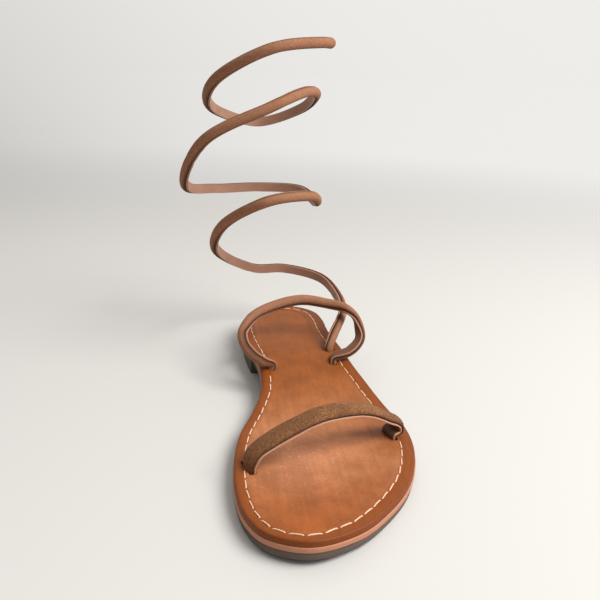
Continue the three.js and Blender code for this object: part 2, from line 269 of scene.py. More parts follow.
# Ground rubber again, in a darker mix with a finer grain that scatters the light evenly
heel_material, tree, shader, place = new_material("olive_heel_rubber_ground")
_, tone = mottled(tree, place, 7, 5, heel_rubber_dark, heel_rubber)
grain = add_node(tree, "ShaderNodeTexNoise", {"Vector": place, "Scale": per(0.7), "Detail": 3})
relief = add_node(tree, "ShaderNodeBump", {
    "Height": grain.outputs["Fac"], "Strength": 0.4, "Distance": 0.2 * MM,
})
dress(tree, shader, tone, relief, 0.82)


def heel_ring(inset):
    """The sole's outline behind the heel's straight breast."""
    ring = sole_ring(inset)
    breast = y_at(0) - heel_block_length + inset - outsole_inset
    count = len(ring)
    behind = sole_ring(outsole_inset)[:, 1] > breast
    last = int(np.argmin(behind)) - 1
    first = count - int(np.argmin(behind[::-1]))
    corners = []
    for inner, outer in ((last, last + 1), (first, first - 1)):
        share = (ring[inner, 1] - breast) / (ring[inner, 1] - ring[outer, 1])
        corners.append(ring[inner] + share * (ring[outer] - ring[inner]))
    return np.vstack([ring[:last + 1], corners, ring[first:]])


heel_rows = [
    (outsole_inset + outsole_edge_round, 0),
    (outsole_inset + 0.3 * outsole_edge_round, 0.15 * outsole_edge_round),
    (outsole_inset, outsole_edge_round),
    (outsole_inset, heel_height - 0.15),
    (outsole_inset + 0.1, heel_height),
]
levels = [np.pad(heel_ring(inset), ((0, 0), (0, 1)), constant_values=rise) for inset, rise in heel_rows]
around = len(levels[0])
heel_faces = [tuple(range(around))[::-1], tuple(range((len(levels) - 1) * around, len(levels) * around))]
heel_faces += wall_faces(len(levels), around)
heel = new_piece("heel_block", np.vstack(levels), heel_faces, heel_material)
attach(heel, "root")
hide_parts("heel")


# Midsole. A board of undyed leather between the outsole and the insole. Only its raw cut edge shows, as a
# pale pinkish band of pressed fibres that stands a little proud of the insole.
midsole_thickness = 2.3
midsole_base = outsole_thickness + glue_gap
raw_edge = "#BA7C5E"
raw_edge_dark = "#96593D"
raw_edge_pale = "#CC9577"

# Raw vegetable tanned leather, cut and lightly sanded: dry, with fibres pressed in lines along the edge
raw_leather, tree, shader, place = new_material("raw_cut_leather_edge")
lines = add_node(tree, "ShaderNodeMapping", {"Vector": place, "Scale": (1, 1, 9)})
fibres, tone = mottled(tree, lines.outputs["Vector"], 3, 6, raw_edge_dark, raw_edge_pale)
patches = add_node(tree, "ShaderNodeTexNoise", {"Vector": place, "Scale": per(14), "Detail": 3})
tint = add_node(tree, "ShaderNodeMix", {
    0: patches.outputs["Fac"], 6: tone, 7: colour(raw_edge),
}, data_type="RGBA")
relief = add_node(tree, "ShaderNodeBump", {"Height": fibres, "Strength": 0.5, "Distance": 0.25 * MM})
dress(tree, shader, tint.outputs[2], relief, 0.78)

midsole_rows = [
    (0.25, midsole_base),
    (0.05, midsole_base + 0.15),
    (0, midsole_base + 0.4),
    (0, midsole_base + midsole_thickness - 0.2),
    (0.06, midsole_base + midsole_thickness + 0.1),
    (0.3, midsole_base + midsole_thickness + glue_gap),
]
midsole = sole_layer("midsole_board", midsole_rows, sole_columns, raw_leather)
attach(midsole, "root")
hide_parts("midsole")


# Insole. The footbed, of smooth vegetable tanned leather with a satin finish. Its border is rounded and
# burnished darker, a groove holds the seam, and five slots take the straps.
insole_thickness = 3.2
insole_inset = 0.4
seam_inset = 6.3
seam_sway = 0.16
slot_clearance = 0.15
toe_strap_width = 11
toe_strap_thickness = 3.7
leg_strap_width = 6.2
leg_strap_thickness = 4.8
exit_skive = 0.75
insole_base = midsole_base + midsole_thickness + glue_gap
footbed_top = insole_base + insole_thickness
seam_depth = 0.3
footbed_columns = 40
points_at_once = 2000
# Each slot: the width it follows, share across, share along, and the way the strap's face looks, in degrees
slots = {
    "toe_medial": (ball_width, -0.359, 0.772, 199),
    "toe_lateral": (ball_width, 0.445, 0.671, 19),
    "ankle_medial": (waist_width, -0.25, 0.396, 225),
    "ankle_lateral": (waist_width, 0.42, 0.376, 0),
    "coil": (waist_width, 0.42, 0.32, -50),
}
# The border's profile: inset from the insole's wall, and depth under the footbed's top, in millimetres
border_rows = [
    (0, insole_thickness),
    (0, 1.5),
    (0.08, 0.95),
    (0.28, 0.5),
    (0.7, 0.22),
    (1.5, 0.09),
    (3.1, 0.05),
    (4.3, 0.08),
    (4.95, 0.16),
    (5.35, 0.27),
    (5.6, seam_depth),
    (5.85, 0.27),
    (6.2, 0.14),
    (6.9, 0.06),
    (7.8, 0),
    (9, 0),
]
# The foot's soft hollows: across, along, reach and depth, in millimetres
footbed_hollows = [
    (0, 0, 20, 0.45),
    (4, -138, 34, 0.5),
    (-16, -190, 12, 0.2),
]
# Painted highlight: the leather is painted paler around this point under the ball, for the sheen there
painted_highlight_middle = (-7, -152, 9)
painted_highlight_reach = 44
tan_leather = "#A06036"
tan_leather_light = "#B4744A"
tan_leather_dark = "#834824"
# The paler tan of the painted highlight under the ball
painted_highlight_tan = "#C0805A"
fleck_pale = "#E3B48C"
toe_tan = "#934E20"
# Partly the leather's own tone, partly painted shade
heel_tan_and_shade = "#884A1C"
burnished_border = "#80400E"
burnished_edge = "#763A10"


def footbed_hollow(flat):
    """Depth of the footbed's soft hollows."""
    depth = np.zeros(len(flat))
    for across, along, reach, deep in footbed_hollows:
        depth += deep * np.exp(-((flat[:, 0] - across) ** 2 + (flat[:, 1] - along) ** 2) / (2 * reach ** 2))
    return depth


def travel_along(path):
    """The distance travelled at each point of a path."""
    return np.concatenate([[0], np.cumsum(np.linalg.norm(np.diff(path, axis=0), axis=1))])


def map_edge(piece):
    """A UV map in metres: along the seam, and inwards from the outline."""
    mesh = piece.data
    outline = sole_ring(0)
    seam = sole_ring(seam_inset, seam_sway)
    uneven = np.linalg.norm(seam - outline, axis=1) / seam_inset
    travel = travel_along(np.vstack([seam, seam[:1]]))
    co = np.zeros(len(mesh.vertices) * 3)
    mesh.vertices.foreach_get("co", co)
    flat = co.reshape(-1, 3)[:, :2] / MM
    nearest = np.zeros(len(flat), int)
    inward = np.zeros(len(flat))
    for start in range(0, len(flat), points_at_once):
        part = slice(start, start + points_at_once)
        away = np.linalg.norm(flat[part, None] - outline[None], axis=2)
        nearest[part] = away.argmin(1)
        inward[part] = away.min(1)
    inward /= uneven[nearest]
    layer = mesh.uv_layers.new(name="edge")
    corners = np.zeros(len(mesh.loops), int)
    mesh.loops.foreach_get("vertex_index", corners)
    along = travel[nearest][corners]
    for polygon in mesh.polygons:
        part = slice(polygon.loop_start, polygon.loop_start + polygon.loop_total)
        if np.ptp(along[part]) > travel[-1] / 2:
            along[part] = np.where(along[part] < travel[-1] / 2, along[part] + travel[-1], along[part])
    layer.data.foreach_set("uv", (np.column_stack([along, inward[corners]]) * MM).ravel())


def slot_centre(slot):
    width, across, along, face = slots[slot]
    return np.array([across * width, y_at(along)])


def slot_face(slot):
    angle = math.radians(slots[slot][3])
    return np.array([math.cos(angle), math.sin(angle), 0])


def slot_box(slot, strap_width, strap_thickness):
    """The eight corners of a slot's cut, upright through the insole."""
    centre = slot_centre(slot)
    out = slot_face(slot)[:2]
    side = np.array([-out[1], out[0]])
    middle = sole_rise(centre[1]) + insole_base + insole_thickness / 2
    across = strap_thickness * exit_skive / 2 + slot_clearance
    wide = strap_width / 2 + slot_clearance
    flat = [centre + a * across * out + b * wide * side for a, b in ((-1, -1), (1, -1), (1, 1), (-1, 1))]
    return [(*corner, middle + lift * 2 * insole_thickness) for lift in (-1, 1) for corner in flat]


def toned(tree, base, value, start, full, tone, most=1):
    """A colour that turns to another tone as a value goes from where it starts to where it is full."""
    share = add_node(tree, "ShaderNodeMapRange", {
        "Value": value, "From Min": start, "From Max": full, "To Max": most,
    }, interpolation_type="SMOOTHSTEP")
    return add_node(tree, "ShaderNodeMix", {
        0: share.outputs[0], 6: base, 7: colour(tone),
    }, data_type="RGBA").outputs[2]


def shaded(tree, base, value, start, full, darkest, palest, way="LINEAR"):
    """A colour that is darker or paler as a value goes from where it starts to where it is full."""
    share = add_node(tree, "ShaderNodeMapRange", {
        "Value": value, "From Min": start, "From Max": full, "To Min": darkest, "To Max": palest,
    }, interpolation_type=way)
    return add_node(tree, "ShaderNodeMix", {
        0: 1.0, 6: base, 7: share.outputs[0],
    }, data_type="RGBA", blend_type="MULTIPLY").outputs[2]


# Vegetable tanned leather, rolled and polished: satin, with faint pores, soft clouds of colour and long
# faint streaks. A paler patch under the ball, with pale flecks in it, is painted highlight for the sheen
# there. The border is burnished with heat and wax, so it gets darker towards the edge.
footbed_leather, tree, shader, place = new_material("vegetable_tanned_leather_satin")
edge_map = add_node(tree, "ShaderNodeUVMap", uv_map="edge")
edge_axes = add_node(tree, "ShaderNodeSeparateXYZ", {0: edge_map.outputs["UV"]})
axes = add_node(tree, "ShaderNodeSeparateXYZ", {0: place})
clouds = add_node(tree, "ShaderNodeTexNoise", {
    "Vector": place, "Scale": per(34), "Detail": 4, "Roughness": 0.55,
}).outputs["Fac"]
cloudy = toned(tree, colour(tan_leather_dark), clouds, 0.3, 0.7, tan_leather_light)
even_tan = add_node(tree, "ShaderNodeMix", {0: 0.35, 6: cloudy, 7: colour(tan_leather)}, data_type="RGBA")
towards_toe = toned(tree, even_tan.outputs[2], axes.outputs["Y"], y_at(0.75) * MM, y_at(0.97) * MM, toe_tan)
# Darker towards the heel: partly the leather's own tone, partly painted shade
towards_heel = toned(tree, towards_toe, axes.outputs["Y"], y_at(0.66) * MM, y_at(0.4) * MM, heel_tan_and_shade)
# Painted highlight: a paler patch under the ball, for the sheen there
ball = add_node(tree, "ShaderNodeVectorMath", {
    0: place, 1: [part * MM for part in painted_highlight_middle],
}, operation="DISTANCE")
painted_highlight_share = add_node(tree, "ShaderNodeMapRange", {
    "Value": ball.outputs["Value"], "From Min": painted_highlight_reach * MM, "From Max": 0, "To Max": 0.75,
}, interpolation_type="SMOOTHSTEP")
highlighted = add_node(tree, "ShaderNodeMix", {
    0: painted_highlight_share.outputs[0], 6: towards_heel, 7: colour(painted_highlight_tan),
}, data_type="RGBA")
patches = add_node(tree, "ShaderNodeTexNoise", {
    "Vector": place, "Scale": per(15), "Detail": 6, "Roughness": 0.6,
})
patched = shaded(tree, highlighted.outputs[2], patches.outputs["Fac"], 0.3, 0.7, 0.84, 1.12, "SMOOTHSTEP")
border = toned(tree, patched, edge_axes.outputs["Y"], 8.5 * MM, 4.5 * MM, burnished_border)
rim = toned(tree, border, edge_axes.outputs["Y"], 3.2 * MM, 0.8 * MM, burnished_edge)
streak_lines = add_node(tree, "ShaderNodeMapping", {"Vector": place, "Scale": (1, 0.03, 1)})
streaks = add_node(tree, "ShaderNodeTexNoise", {
    "Vector": streak_lines.outputs["Vector"], "Scale": per(2.2), "Detail": 3,
})
streaked = shaded(tree, rim, streaks.outputs["Fac"], 0.25, 0.75, 0.9, 1.1)
grain = add_node(tree, "ShaderNodeTexNoise", {
    "Vector": place, "Scale": per(1.1), "Detail": 4, "Roughness": 0.65,
})
grained = shaded(tree, streaked, grain.outputs["Fac"], 0.25, 0.75, 0.86, 1.14)
# Pale flecks, painted only inside the painted highlight under the ball
flecks = add_node(tree, "ShaderNodeTexNoise", {"Vector": place, "Scale": per(1.6), "Detail": 2})
fleck_share = add_node(tree, "ShaderNodeMapRange", {
    "Value": flecks.outputs["Fac"], "From Min": 0.62, "From Max": 0.72, "To Max": 0.5,
}, interpolation_type="SMOOTHSTEP")
fleck_place = add_node(tree, "ShaderNodeMath", {
    0: fleck_share.outputs[0], 1: painted_highlight_share.outputs[0],
}, operation="MULTIPLY")
flecked = add_node(tree, "ShaderNodeMix", {
    0: fleck_place.outputs[0], 6: grained, 7: colour(fleck_pale),
}, data_type="RGBA")
pores = add_node(tree, "ShaderNodeTexVoronoi", {"Vector": place, "Scale": per(0.9)})
ripple = add_node(tree, "ShaderNodeTexNoise", {"Vector": place, "Scale": per(11), "Detail": 2})
pore_relief = add_node(tree, "ShaderNodeBump", {
    "Height": pores.outputs["Distance"], "Strength": 0.12, "Distance": 0.1 * MM,
})
grain_relief = add_node(tree, "ShaderNodeBump", {
    "Height": grain.outputs["Fac"], "Strength": 0.25, "Distance": 0.15 * MM,
    "Normal": pore_relief.outputs["Normal"],
})
ripple_relief = add_node(tree, "ShaderNodeBump", {
    "Height": ripple.outputs["Fac"], "Strength": 0.3, "Distance": 0.5 * MM,
    "Normal": grain_relief.outputs["Normal"],
})
polish = add_node(tree, "ShaderNodeMapRange", {
    "Value": clouds, "From Min": 0.3, "From Max": 0.7, "To Min": 0.46, "To Max": 0.6,
})
tree.links.new(flecked.outputs[2], shader.inputs["Base Color"])
tree.links.new(polish.outputs[0], shader.inputs["Roughness"])
tree.links.new(ripple_relief.outputs["Normal"], shader.inputs["Normal"])
shader.inputs["Specular IOR Level"].default_value = 0.22

insole_rows = [(insole_inset + inset, footbed_top - depth) for inset, depth in border_rows]
insole = sole_layer("footbed", insole_rows, footbed_columns, footbed_leather, footbed_hollow, seam_sway)
map_edge(insole)

# The slots are punched through, and their walls show the same leather
toe_strap_size = (toe_strap_width, toe_strap_thickness)
leg_strap_size = (leg_strap_width, leg_strap_thickness)
slot_sizes = {slot: toe_strap_size if slot.startswith("toe") else leg_strap_size for slot in slots}
box_faces = [(3, 2, 1, 0), (4, 5, 6, 7), (0, 1, 5, 4), (1, 2, 6, 5), (2, 3, 7, 6), (3, 0, 4, 7)]
cut_points = []
cut_faces = []
for slot, (strap_width, strap_thickness) in slot_sizes.items():
    cut_faces += [tuple(len(cut_points) + corner for corner in face) for face in box_faces]
    cut_points += slot_box(slot, strap_width, strap_thickness)
punch = new_piece("slot_punch", cut_points, cut_faces, raw_leather)
cut = insole.modifiers.new("slots", "BOOLEAN")
cut.operation = "DIFFERENCE"
cut.solver = "EXACT"
cut.object = punch
insole.data = bpy.data.meshes.new_from_object(insole.evaluated_get(bpy.context.evaluated_depsgraph_get()))
insole.modifiers.clear()
bpy.data.objects.remove(punch)
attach(insole, "root")
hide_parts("insole")


# Seam. Waxed cream thread in a saddle stitch, pulled down into the groove around the footbed. It holds the
# insole to the midsole, and it stops where a strap goes through.
stitch_pitch = 7.5
stitch_gap = 1.1
thread_thickness = 0.7
thread_lift = 0.35
thread_sides = 8
stitch_dip = 1.1
stitch_points = 13
seam_clear = 0.5
thread_cream = "#F0CDB4"
thread_shade = "#C99B78"

# Waxed cotton thread: two plies laid in a twist of about a millimetre, softly shiny from the wax
thread, tree, shader, place = new_material("waxed_cotton_thread")
twist, tone = mottled(tree, place, 0.8, 3, thread_shade, thread_cream)
relief = add_node(tree, "ShaderNodeBump", {"Height": twist, "Strength": 0.6, "Distance": 0.2 * MM})
dress(tree, shader, tone, relief, 0.55)


def stitch_tree():
    """Stitches laid along a path at an even pitch. Each is a short thread that dips into the leather at its
    ends."""
    tree = bpy.data.node_groups.new("seam_stitches", "GeometryNodeTree")
    tree.interface.new_socket("Path", in_out="INPUT", socket_type="NodeSocketGeometry")
    for name in ("Pitch", "Gap", "Thickness"):
        tree.interface.new_socket(name, in_out="INPUT", socket_type="NodeSocketFloat")
    tree.interface.new_socket("Thread", in_out="INPUT", socket_type="NodeSocketMaterial")
    tree.interface.new_socket("Stitches", in_out="OUTPUT", socket_type="NodeSocketGeometry")
    given = add_node(tree, "NodeGroupInput").outputs
    length = add_node(tree, "ShaderNodeMath", {0: given["Pitch"], 1: given["Gap"]}, operation="SUBTRACT")
    reach = add_node(tree, "ShaderNodeMath", {0: length.outputs[0], 1: 0.5}, operation="MULTIPLY")
    back = add_node(tree, "ShaderNodeMath", {0: length.outputs[0], 1: -0.5}, operation="MULTIPLY")
    start = add_node(tree, "ShaderNodeCombineXYZ", {0: back.outputs[0]})
    end = add_node(tree, "ShaderNodeCombineXYZ", {0: reach.outputs[0]})
    line = add_node(tree, "GeometryNodeCurvePrimitiveLine", {
        "Start": start.outputs[0], "End": end.outputs[0],
    })
    fine = add_node(tree, "GeometryNodeResampleCurve", {
        "Curve": line.outputs[0], "Count": stitch_points,
    })
    spot = add_node(tree, "GeometryNodeInputPosition")
    along = add_node(tree, "ShaderNodeSeparateXYZ", {0: spot.outputs[0]})
    share = add_node(tree, "ShaderNodeMath", {
        0: along.outputs["X"], 1: reach.outputs[0],
    }, operation="DIVIDE")
    square = add_node(tree, "ShaderNodeMath", {
        0: share.outputs[0], 1: share.outputs[0],
    }, operation="MULTIPLY")
    steep = add_node(tree, "ShaderNodeMath", {0: square.outputs[0], 1: 3}, operation="POWER")
    drop = add_node(tree, "ShaderNodeMath", {
        0: given["Thickness"], 1: -stitch_dip,
    }, operation="MULTIPLY")
    dip = add_node(tree, "ShaderNodeMath", {0: steep.outputs[0], 1: drop.outputs[0]}, operation="MULTIPLY")
    down = add_node(tree, "ShaderNodeCombineXYZ", {2: dip.outputs[0]})
    bow = add_node(tree, "GeometryNodeSetPosition", {"Geometry": fine.outputs[0], "Offset": down.outputs[0]})
    radius = add_node(tree, "ShaderNodeMath", {0: given["Thickness"], 1: 0.5}, operation="MULTIPLY")
    section = add_node(tree, "GeometryNodeCurvePrimitiveCircle", {
        "Resolution": thread_sides, "Radius": radius.outputs[0],
    })
    stitch = add_node(tree, "GeometryNodeCurveToMesh", {
        "Curve": bow.outputs[0], "Profile Curve": section.outputs["Curve"], "Fill Caps": True,
    })
    path = add_node(tree, "GeometryNodeMeshToCurve", {"Mesh": given["Path"]})
    # Spaced just under the pitch, so that rounding never drops a run's last stitch
    spacing = add_node(tree, "ShaderNodeMath", {0: given["Pitch"], 1: 0.999}, operation="MULTIPLY")
    spots = add_node(tree, "GeometryNodeCurveToPoints", {
        "Curve": path.outputs[0], "Length": spacing.outputs[0],
    }, mode="LENGTH")
    ahead = add_node(tree, "FunctionNodeAlignRotationToVector", {
        "Vector": spots.outputs["Tangent"],
    }, axis="X")
    level = add_node(tree, "FunctionNodeAlignRotationToVector", {
        "Rotation": ahead.outputs[0], "Vector": (0, 0, 1),
    }, axis="Z", pivot_axis="X")
    slant = add_node(tree, "FunctionNodeRandomValue", {
        "Min": (0, 0, -0.05), "Max": (0, 0, 0.09), "Seed": 4,
    }, data_type="FLOAT_VECTOR")
    slanted = add_node(tree, "FunctionNodeRotateRotation", {
        "Rotation": level.outputs[0], "Rotate By": slant.outputs[0],
    }, rotation_space="LOCAL")
    size = add_node(tree, "FunctionNodeRandomValue", {
        "Min": (0.95, 0.92, 0.92), "Max": (1.03, 1.06, 1.06), "Seed": 9,
    }, data_type="FLOAT_VECTOR")
    laid = add_node(tree, "GeometryNodeInstanceOnPoints", {
        "Points": spots.outputs["Points"],
        "Instance": stitch.outputs[0],
        "Rotation": slanted.outputs[0],
        "Scale": size.outputs[0],
    })
    real = add_node(tree, "GeometryNodeRealizeInstances", {0: laid.outputs[0]})
    smooth = add_node(tree, "GeometryNodeSetShadeSmooth", {0: real.outputs[0]})
    done = add_node(tree, "GeometryNodeSetMaterial", {
        "Geometry": smooth.outputs[0], "Material": given["Thread"],
    })
    add_node(tree, "NodeGroupOutput", {0: done.outputs[0]})
    return tree


def clear_of(slot, line):
    """Whether a line keeps clear of a slot's cut."""
    away = line - slot_centre(slot)
    out = slot_face(slot)[:2]
    wide, deep = slot_sizes[slot]
    across = np.abs(away @ out) < deep * exit_skive / 2 + slot_clearance + seam_clear
    along = np.abs(away @ np.array([-out[1], out[0]])) < wide / 2 + slot_clearance + seam_clear
    return not (across & along).any()


def seam_path():
    """The seam's line in runs, each from the middle of its first stitch to the middle of its last. A stitch
    is left out where a slot is in its way."""
    fine = smooth_curve(sole_ring(seam_inset, seam_sway), 4, closed=True)
    fine = np.vstack([fine, fine[:1]])
    travel = travel_along(fine)
    total = round(travel[-1] / stitch_pitch)
    pitch = travel[-1] / total

    def line_at(reach):
        return np.column_stack([np.interp(reach * pitch, travel, fine[:, axis]) for axis in (0, 1)])

    lines = [line_at(stitch + np.linspace(0.1, 0.9, 9)) for stitch in range(total)]
    clear = [False] + [all(clear_of(slot, line) for slot in slots) for line in lines] + [False]
    firsts = [stitch for stitch in range(total) if clear[stitch + 1] and not clear[stitch]]
    lasts = [stitch for stitch in range(total) if clear[stitch + 1] and not clear[stitch + 2]]
    points = np.zeros((0, 2))
    edges = []
    for first, last in zip(firsts, lasts):
        run = line_at(np.linspace(first + 0.5, last + 0.5, 12 * (last - first) + 1))
        edges += [(len(points) + k, len(points) + k + 1) for k in range(len(run) - 1)]
        points = np.vstack([points, run])
    height = sole_rise(points[:, 1]) + footbed_top - seam_depth + thread_lift * thread_thickness
    return np.column_stack([points, height]), edges, pitch


seam_points, seam_edges, even_pitch = seam_path()
seam_mesh = bpy.data.meshes.new("seam_stitches")
seam_mesh.from_pydata((seam_points * MM).tolist(), seam_edges, [])
seam = bpy.data.objects.new("seam_stitches", seam_mesh)
bpy.context.scene.collection.objects.link(seam)
sewing = seam.modifiers.new("sewing", "NODES")
sewing.node_group = stitch_tree()
given_values = {
    "Pitch": even_pitch * MM,
    "Gap": stitch_gap * MM,
    "Thickness": thread_thickness * MM,
    "Thread": thread,
}
for item in sewing.node_group.interface.items_tree:
    if item.name in given_values:
        sewing[item.identifier] = given_values[item.name]
seam.data = bpy.data.meshes.new_from_object(seam.evaluated_get(bpy.context.evaluated_depsgraph_get()))
seam.modifiers.clear()
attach(seam, "root")


# Toe strap. Olive brown suede pulled over a soft filler and glued on a strip of lining leather, whose pale
# cut edge shows along the front. It arches over the toes and curls under itself at the outer slot.
# Each crease: share of the strap's length, reach in millimetres, and depth as a share of the strap's size.
# A depth under 0 is a lump.
toe_strap_creases = [
    (0.13, 3, 0.03),
    (0.24, 4, -0.025),
    (0.36, 3, 0.03),
    (0.52, 5, -0.02),
    (0.63, 3, 0.025),
    (0.84, 2.5, 0.05),
    (0.9, 2, -0.03),
]
toe_strap_arch = 21
toe_strap_tilt = 6
foot_skive = 0.8
exit_height = 1.8
strap_steps = 12
lining_share = 0.25
lining_chamfer = 0.03
lining_worn_reach = 0.4
toe_lining_width = 1.03
# Each row: share of the way between the slots, and share of the strap's arch over the footbed
toe_strap_rows = [
    (0.005, 0.18),
    (0.04, 0.385),
    (0.15, 0.61),
    (0.27, 0.78),
    (0.47, 0.975),
    (0.69, 0.95),
    (0.82, 0.83),
    (0.96, 0.55),
    (1.045, 0.34),
    (1.045, 0.15),
]
# The suede face's section: shares of the strap's width and thickness. It turns in under its sides, which
# leaves a crease over the lining.
suede_section = [
    (-0.37, -0.31),
    (0, -0.27),
    (0.37, -0.31),
    (0.45, -0.22),
    (0.5, -0.05),
    (0.465, 0.15),
    (0.36, 0.35),
    (0.2, 0.5),
    (0, 0.55),
    (-0.2, 0.5),
    (-0.36, 0.35),
    (-0.465, 0.15),
    (-0.5, -0.05),
    (-0.45, -0.22),
]
bow_steps = 100
olive_suede = "#7D4E2E"
olive_suede_light = "#B18259"
olive_suede_dark = "#4F301B"
olive_bloom = "#D8A878"
# Painted shade down the suede's flanks, where it turns in over the lining
painted_flank_shade = "#3A2013"
# Painted shade: the lining face of the toe and ankle straps is given darker than the coil's
painted_shade_lining = "#754C33"
painted_shade_lining_dark = "#573521"
pale_rim = "#C08D70"


def normalised(vectors):
    return vectors / np.linalg.norm(vectors, axis=-1, keepdims=True)


def strap_stations(stops, steps):
    """Points, ways ahead, faces and skives along a strap that leaves its slot upright. Each stop is a point,
    a face and a skive, which is the share of the thickness left there."""
    path = smooth_curve([stop[0] for stop in stops], steps)
    faces = smooth_curve(normalised(np.array([stop[1] for stop in stops], float)), steps, pull=0)
    skive = np.interp(np.arange(len(path)) / steps, range(len(stops)), [stop[2] for stop in stops])
    ahead = normalised(np.gradient(path, axis=0))
    ahead[0] = (0, 0, 1)
    out = normalised(faces - (faces * ahead).sum(1, keepdims=True) * ahead)
    return path, ahead, out, skive


def sweep(name, stations, section, marks, sizes, material):
    """Carries a section along a strap. Sizes are the strap's width and thickness at each station, and marks
    are kept for the section's corners in the UV map beside the way along the strap."""
    path, ahead, out, skive = stations
    side = np.cross(out, ahead)
    across, outward = np.array(section, float).T
    width, thickness = sizes
    place = path[:, None] + side[:, None] * (across[None, :] * width[:, None])[..., None]
    place = place + out[:, None] * (outward[None, :] * thickness[:, None])[..., None]
    around = len(section)
    faces = wall_faces(len(path), around)
    last = (len(path) - 1) * around
    faces.append(tuple(range(around))[::-1])
    faces.append(tuple(range(last, last + around)))
    piece = new_piece(name, place.reshape(-1, 3), faces, material, crease=50)
    travel = travel_along(path) * MM
    corners = np.zeros(len(piece.data.loops), int)
    piece.data.loops.foreach_get("vertex_index", corners)
    strap_map = np.column_stack([travel[corners // around], np.asarray(marks)[corners % around]])
    piece.data.uv_layers.new(name="strap").data.foreach_set("uv", strap_map.ravel())
    return piece


def slot_stops(slot, strap_width):
    """Where a strap stands in its slot: its end, half way up, and its way out over the footbed."""
    x, y = slot_centre(slot)
    slope = max(sole_rise(y + strap_width / 2), sole_rise(y - strap_width / 2))
    low = slope + insole_base
    high = sole_rise(y) + footbed_top + exit_height
    face = slot_face(slot)
    return [
        ((x, y, low), face, foot_skive),
        ((x, y, (low + high) / 2), face, foot_skive),
        ((x, y, high), face, exit_skive),
    ]


def lining_section(width_share):
    """A flat strip with softly rounded edges, under the suede. Its face has three more points across, from
    which the paler cut edge is told."""
    low, high = -0.5, -0.5 + lining_share
    soft = 0.25 * lining_share
    edge = width_share / 2
    return [
        (-edge + lining_chamfer, low), (-lining_worn_reach, low), (0, low), (lining_worn_reach, low),
        (edge - lining_chamfer, low), (edge, low + soft), (edge, high - soft), (edge - lining_chamfer, high),
        (-edge + lining_chamfer, high), (-edge, high - soft), (-edge, low + soft),
    ]


def strap_mark(tree):
    """The mark that a strap's UV map holds for the place across its section."""
    strap_map = add_node(tree, "ShaderNodeUVMap", uv_map="strap")
    return add_node(tree, "ShaderNodeSeparateXYZ", {0: strap_map.outputs["UV"]}).outputs["Y"]


def bloom(shader, weight, tint):
    """The soft bloom of a nap, in place of a gloss."""
    shader.inputs["Specular IOR Level"].default_value = 0.25
    shader.inputs["Sheen Weight"].default_value = weight
    shader.inputs["Sheen Roughness"].default_value = 0.5
    shader.inputs["Sheen Tint"].default_value = colour(tint)


# Brushed suede: the flesh side's nap, so no gloss but a soft bloom at grazing angles, with light and dark
# tufts. The nap is about 0.4 mm and drawn near 0.9 mm, because finer would not show. The flanks, where the
# suede turns in over the lining, are painted darker as shade.
toe_suede, tree, shader, place = new_material("olive_brushed_suede")
tufts = add_node(tree, "ShaderNodeTexNoise", {
    "Vector": place, "Scale": per(0.9), "Detail": 5, "Roughness": 0.7,
}).outputs["Fac"]
napped = toned(tree, colour(olive_suede_dark), tufts, 0.38, 0.66, olive_suede_light)
softened = add_node(tree, "ShaderNodeMix", {0: 0.55, 6: napped, 7: colour(olive_suede)}, data_type="RGBA")
patches = add_node(tree, "ShaderNodeTexNoise", {"Vector": place, "Scale": per(11), "Detail": 3})
patched = toned(tree, softened.outputs[2], patches.outputs["Fac"], 0.35, 0.65, olive_suede_dark, most=0.35)
# Painted shade: darker down the section's flanks and into the crease over the lining
flank_shaded = toned(tree, patched, strap_mark(tree), 0.36, -0.2, painted_flank_shade)
fuzz = add_node(tree, "ShaderNodeTexNoise", {
    "Vector": place, "Scale": per(0.5), "Detail": 4, "Roughness": 0.8,
})
fuzz_relief = add_node(tree, "ShaderNodeBump", {
    "Height": fuzz.outputs["Fac"], "Strength": 0.7, "Distance": 0.35 * MM,
})
tuft_relief = add_node(tree, "ShaderNodeBump", {
    "Height": tufts, "Strength": 0.6, "Distance": 0.5 * MM, "Normal": fuzz_relief.outputs["Normal"],
})
dress(tree, shader, flank_shaded, tuft_relief, 0.95)
bloom(shader, 0.07, olive_bloom)


def lining_leather(name, face, face_dark, rim):
    """Thin smooth calf, undyed and satin from wear, with fine pores. Its cut edge is paler than its face.
    The face colours given for the toe and ankle straps are darker, as painted shade."""
    material, tree, shader, place = new_material(name)
    _, tone = mottled(tree, place, 9, 4, face_dark, face)
    rimmed = toned(tree, tone, strap_mark(tree), 0.42, 0.48, rim)
    pores = add_node(tree, "ShaderNodeTexNoise", {"Vector": place, "Scale": per(0.8), "Detail": 4})
    relief = add_node(tree, "ShaderNodeBump", {
        "Height": pores.outputs["Fac"], "Strength": 0.3, "Distance": 0.15 * MM,
    })
    dress(tree, shader, rimmed, relief, 0.6)
    return material


# The lining face here is painted darker, as shade
toe_lining = lining_leather("painted_shade_lining_leather", painted_shade_lining, painted_shade_lining_dark, pale_rim)


def toe_strap_stops():
    """The toe strap's way from the medial slot over the toes to the lateral one."""
    start = np.array([*slot_centre("toe_medial"), 0])
    end = np.array([*slot_centre("toe_lateral"), 0])
    span = end - start
    back = normalised(np.array([-span[1], span[0], 0]))
    bow = [start + share * span for share, rise in toe_strap_rows]
    for point, (share, rise) in zip(bow, toe_strap_rows):
        point[2] = sole_rise(point[1]) + footbed_top + rise * toe_strap_arch
    line = smooth_curve([start, *bow, end], bow_steps)
    ways = normalised(np.gradient(line, axis=0))
    stops = []
    for i, point in enumerate(bow):
        tilt = math.radians(toe_strap_tilt) * math.sin(math.pi * i / (len(bow) - 1))
        side = back * math.cos(tilt) + np.array([0, 0, math.sin(tilt)])
        stops.append((point, np.cross(ways[(i + 1) * bow_steps], side), 1))
    medial = slot_stops("toe_medial", toe_strap_width)
    lateral = slot_stops("toe_lateral", toe_strap_width)[::-1]
    return [*medial, *stops, *lateral]


